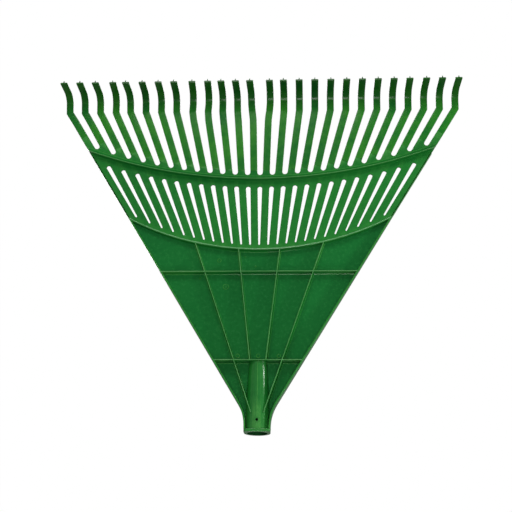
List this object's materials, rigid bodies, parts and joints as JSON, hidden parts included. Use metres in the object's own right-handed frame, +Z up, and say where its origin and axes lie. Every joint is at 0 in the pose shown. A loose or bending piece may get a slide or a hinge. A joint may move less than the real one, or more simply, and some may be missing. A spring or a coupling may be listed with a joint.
{
  "type": "leaf rake head",
  "caption": "Fan-shaped one-piece plastic leaf rake head with flexible curled tines, a ribbed web and a tapered blind handle socket with a screw hole.",
  "frame": {"origin": "middle of the handle socket's mouth, on the socket's axis", "axes": "+Z up the socket towards the tines, -Y towards the ribbed side that the curled tips point to, +X to the right of that side"},
  "size_m": [0.588, 0.0726, 0.5143],
  "materials": {
    "moulded_green": "satin moulded polypropylene",
    "tray_green": "satin moulded polypropylene, finely mottled",
    "tine_green": "satin moulded polypropylene, scuffed towards the tips"
  },
  "bodies": {
    "head": {"socket_tube": "moulded_green", "socket_collar": "moulded_green", "screw_boss": "moulded_green", "web_panel": "tray_green", "neck_web_left": "tray_green", "neck_web_right": "tray_green", "side_flange_left": "moulded_green", "side_flange_right": "moulded_green", "inner_rib_left": "moulded_green", "inner_rib_right": "moulded_green", "outer_rib_left": "moulded_green", "outer_rib_right": "moulded_green", "cross_rib_lower": "moulded_green", "cross_rib_upper": "moulded_green", "lower_arc_wall": "moulded_green", "comb_lower_band": "moulded_green", "comb_struts": "moulded_green", "comb_upper_band": "moulded_green", "tine_stubs": "moulded_green", "upper_arc_ridge": "moulded_green", "strut_back_ribs": "moulded_green", "ejector_marks": "tray_green"},
    "tine_01": {"tine_01": "tine_green"},
    "tine_02": {"tine_02": "tine_green"},
    "tine_03": {"tine_03": "tine_green"},
    "tine_04": {"tine_04": "tine_green"},
    "tine_05": {"tine_05": "tine_green"},
    "tine_06": {"tine_06": "tine_green"},
    "tine_07": {"tine_07": "tine_green"},
    "tine_08": {"tine_08": "tine_green"},
    "tine_09": {"tine_09": "tine_green"},
    "tine_10": {"tine_10": "tine_green"},
    "tine_11": {"tine_11": "tine_green"},
    "tine_12": {"tine_12": "tine_green"},
    "tine_13": {"tine_13": "tine_green"},
    "tine_14": {"tine_14": "tine_green"},
    "tine_15": {"tine_15": "tine_green"},
    "tine_16": {"tine_16": "tine_green"},
    "tine_17": {"tine_17": "tine_green"},
    "tine_18": {"tine_18": "tine_green"},
    "tine_19": {"tine_19": "tine_green"},
    "tine_20": {"tine_20": "tine_green"},
    "tine_21": {"tine_21": "tine_green"},
    "tine_22": {"tine_22": "tine_green"},
    "tine_23": {"tine_23": "tine_green"},
    "tine_24": {"tine_24": "tine_green"},
    "tine_25": {"tine_25": "tine_green"},
    "tine_26": {"tine_26": "tine_green"}
  },
  "joints": [
    {"name": "tine_01_flex", "type": "hinge", "parent": "head", "child": "tine_01", "pos_m": [-0.26524, -0.0137, 0.44238], "axis": [0.8571, 0, 0.5151], "range_deg": [-10, 14], "stiffness_Nm_per_rad": 0.35},
    {"name": "tine_02_flex", "type": "hinge", "parent": "head", "child": "tine_02", "pos_m": [-0.23785, -0.0137, 0.43121], "axis": [0.8752, 0, 0.4838], "range_deg": [-10, 14], "stiffness_Nm_per_rad": 0.35},
    {"name": "tine_03_flex", "type": "hinge", "parent": "head", "child": "tine_03", "pos_m": [-0.21253, -0.0137, 0.42204], "axis": [0.8927, 0, 0.4506], "range_deg": [-10, 14], "stiffness_Nm_per_rad": 0.35},
    {"name": "tine_04_flex", "type": "hinge", "parent": "head", "child": "tine_04", "pos_m": [-0.18879, -0.0137, 0.41438], "axis": [0.9096, 0, 0.4154], "range_deg": [-10, 14], "stiffness_Nm_per_rad": 0.35},
    {"name": "tine_05_flex", "type": "hinge", "parent": "head", "child": "tine_05", "pos_m": [-0.16628, -0.0137, 0.40792], "axis": [0.9257, 0, 0.3783], "range_deg": [-10, 14], "stiffness_Nm_per_rad": 0.35},
    {"name": "tine_06_flex", "type": "hinge", "parent": "head", "child": "tine_06", "pos_m": [-0.14475, -0.0137, 0.40245], "axis": [0.9407, 0, 0.3392], "range_deg": [-10, 14], "stiffness_Nm_per_rad": 0.35},
    {"name": "tine_07_flex", "type": "hinge", "parent": "head", "child": "tine_07", "pos_m": [-0.124, -0.0137, 0.39781], "axis": [0.9545, 0, 0.2983], "range_deg": [-10, 14], "stiffness_Nm_per_rad": 0.35},
    {"name": "tine_08_flex", "type": "hinge", "parent": "head", "child": "tine_08", "pos_m": [-0.10389, -0.0137, 0.39389], "axis": [0.9668, 0, 0.2556], "range_deg": [-10, 14], "stiffness_Nm_per_rad": 0.35},
    {"name": "tine_09_flex", "type": "hinge", "parent": "head", "child": "tine_09", "pos_m": [-0.08429, -0.0137, 0.39062], "axis": [0.9774, 0, 0.2114], "range_deg": [-10, 14], "stiffness_Nm_per_rad": 0.35},
    {"name": "tine_10_flex", "type": "hinge", "parent": "head", "child": "tine_10", "pos_m": [-0.0651, -0.0137, 0.38792], "axis": [0.9861, 0, 0.1659], "range_deg": [-10, 14], "stiffness_Nm_per_rad": 0.35},
    {"name": "tine_11_flex", "type": "hinge", "parent": "head", "child": "tine_11", "pos_m": [-0.04624, -0.0137, 0.38577], "axis": [0.9929, 0, 0.1193], "range_deg": [-10, 14], "stiffness_Nm_per_rad": 0.35},
    {"name": "tine_12_flex", "type": "hinge", "parent": "head", "child": "tine_12", "pos_m": [-0.02763, -0.0137, 0.38412], "axis": [0.9974, 0, 0.0719], "range_deg": [-10, 14], "stiffness_Nm_per_rad": 0.35},
    {"name": "tine_13_flex", "type": "hinge", "parent": "head", "child": "tine_13", "pos_m": [-0.00918, -0.0137, 0.38296], "axis": [0.9997, 0, 0.024], "range_deg": [-10, 14], "stiffness_Nm_per_rad": 0.35},
    {"name": "tine_14_flex", "type": "hinge", "parent": "head", "child": "tine_14", "pos_m": [0.00918, -0.0137, 0.38296], "axis": [0.9997, 0, -0.024], "range_deg": [-10, 14], "stiffness_Nm_per_rad": 0.35},
    {"name": "tine_15_flex", "type": "hinge", "parent": "head", "child": "tine_15", "pos_m": [0.02763, -0.0137, 0.38412], "axis": [0.9974, 0, -0.0719], "range_deg": [-10, 14], "stiffness_Nm_per_rad": 0.35},
    {"name": "tine_16_flex", "type": "hinge", "parent": "head", "child": "tine_16", "pos_m": [0.04624, -0.0137, 0.38577], "axis": [0.9929, 0, -0.1193], "range_deg": [-10, 14], "stiffness_Nm_per_rad": 0.35},
    {"name": "tine_17_flex", "type": "hinge", "parent": "head", "child": "tine_17", "pos_m": [0.0651, -0.0137, 0.38792], "axis": [0.9861, 0, -0.1659], "range_deg": [-10, 14], "stiffness_Nm_per_rad": 0.35},
    {"name": "tine_18_flex", "type": "hinge", "parent": "head", "child": "tine_18", "pos_m": [0.08429, -0.0137, 0.39062], "axis": [0.9774, 0, -0.2114], "range_deg": [-10, 14], "stiffness_Nm_per_rad": 0.35},
    {"name": "tine_19_flex", "type": "hinge", "parent": "head", "child": "tine_19", "pos_m": [0.10389, -0.0137, 0.39389], "axis": [0.9668, 0, -0.2556], "range_deg": [-10, 14], "stiffness_Nm_per_rad": 0.35},
    {"name": "tine_20_flex", "type": "hinge", "parent": "head", "child": "tine_20", "pos_m": [0.124, -0.0137, 0.39781], "axis": [0.9545, 0, -0.2983], "range_deg": [-10, 14], "stiffness_Nm_per_rad": 0.35},
    {"name": "tine_21_flex", "type": "hinge", "parent": "head", "child": "tine_21", "pos_m": [0.14475, -0.0137, 0.40245], "axis": [0.9407, 0, -0.3392], "range_deg": [-10, 14], "stiffness_Nm_per_rad": 0.35},
    {"name": "tine_22_flex", "type": "hinge", "parent": "head", "child": "tine_22", "pos_m": [0.16628, -0.0137, 0.40792], "axis": [0.9257, 0, -0.3783], "range_deg": [-10, 14], "stiffness_Nm_per_rad": 0.35},
    {"name": "tine_23_flex", "type": "hinge", "parent": "head", "child": "tine_23", "pos_m": [0.18879, -0.0137, 0.41438], "axis": [0.9096, 0, -0.4154], "range_deg": [-10, 14], "stiffness_Nm_per_rad": 0.35},
    {"name": "tine_24_flex", "type": "hinge", "parent": "head", "child": "tine_24", "pos_m": [0.21253, -0.0137, 0.42204], "axis": [0.8927, 0, -0.4506], "range_deg": [-10, 14], "stiffness_Nm_per_rad": 0.35},
    {"name": "tine_25_flex", "type": "hinge", "parent": "head", "child": "tine_25", "pos_m": [0.23785, -0.0137, 0.43121], "axis": [0.8752, 0, -0.4838], "range_deg": [-10, 14], "stiffness_Nm_per_rad": 0.35},
    {"name": "tine_26_flex", "type": "hinge", "parent": "head", "child": "tine_26", "pos_m": [0.26524, -0.0137, 0.44238], "axis": [0.8571, 0, -0.5151], "range_deg": [-10, 14], "stiffness_Nm_per_rad": 0.35}
  ]
}
